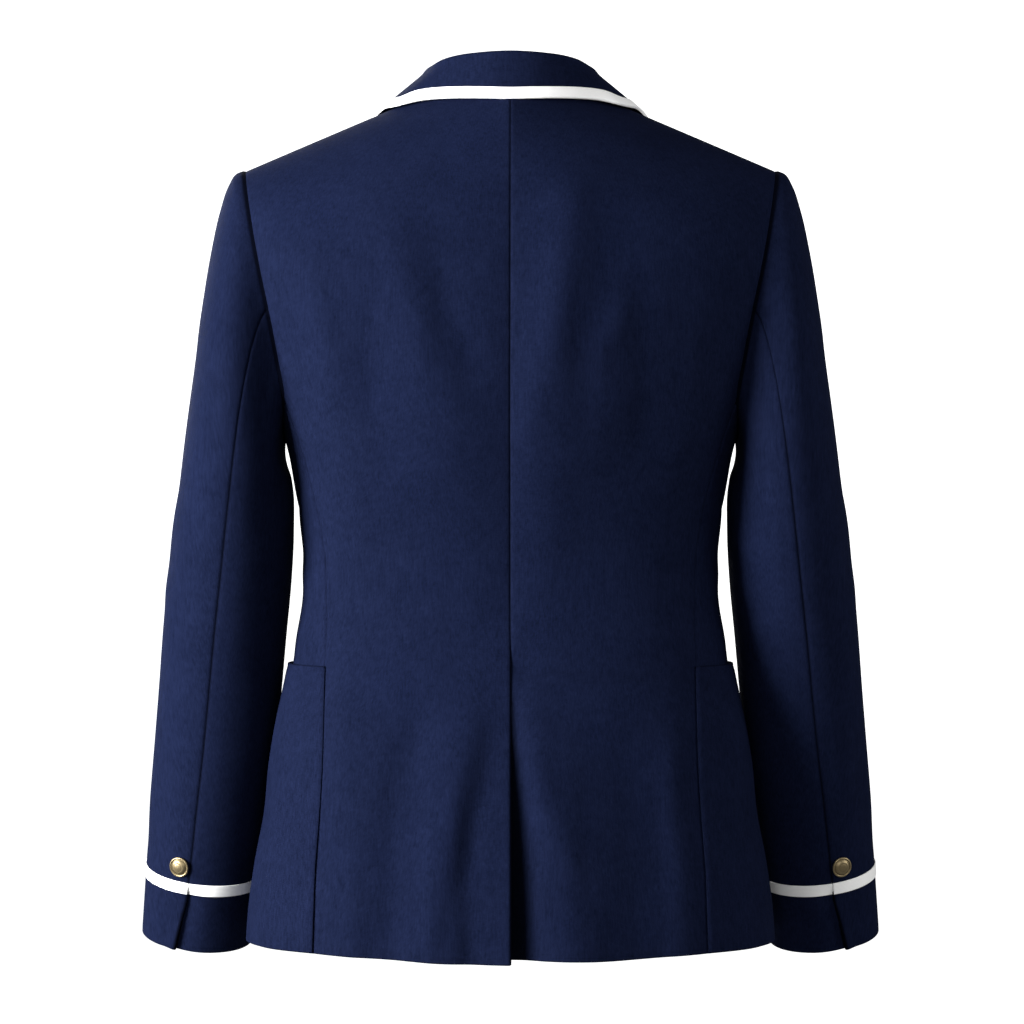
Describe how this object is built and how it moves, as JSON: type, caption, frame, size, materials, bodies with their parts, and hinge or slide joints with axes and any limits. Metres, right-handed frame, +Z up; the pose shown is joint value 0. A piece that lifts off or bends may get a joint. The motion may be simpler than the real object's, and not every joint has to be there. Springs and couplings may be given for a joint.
{
  "type": "blazer",
  "caption": "Hip-length tailored jacket, hollow as worn, with a notched collar, centre vent, patch pockets, ribbon-edged collar and cuffs, and domed metal buttons.",
  "frame": {"origin": "middle of the neck base, between the shoulder seams, where the wearer's shoulders hold the garment up", "axes": "+Z up, the wearer faces -Y, +X is the wearer's left"},
  "size_m": [0.6268, 0.2809, 0.746],
  "materials": {
    "navy_wool": "matte fine worsted with a slight heather",
    "white_ribbon": "white grosgrain ribbon",
    "antique_brass": "antique, brushed"
  },
  "bodies": {
    "root": {"back_left": "navy_wool", "back_right": "navy_wool", "collar": "navy_wool", "collar_ribbon": "white_ribbon", "cuff_button_left": "antique_brass", "cuff_button_right": "antique_brass", "cuff_ribbon_top_left": "white_ribbon", "cuff_ribbon_top_right": "white_ribbon", "cuff_ribbon_under_left": "white_ribbon", "cuff_ribbon_under_right": "white_ribbon", "front_button_lower": "antique_brass", "front_button_upper": "antique_brass", "front_left": "navy_wool", "front_right": "navy_wool", "lapel_left": "navy_wool", "lapel_ribbon_left": "white_ribbon", "lapel_ribbon_right": "white_ribbon", "lapel_right": "navy_wool", "pocket_left": "navy_wool", "pocket_right": "navy_wool", "side_left": "navy_wool", "side_right": "navy_wool", "sleeve_top_left": "navy_wool", "sleeve_top_right": "navy_wool", "sleeve_under_left": "navy_wool", "sleeve_under_right": "navy_wool"}
  },
  "joints": []
}
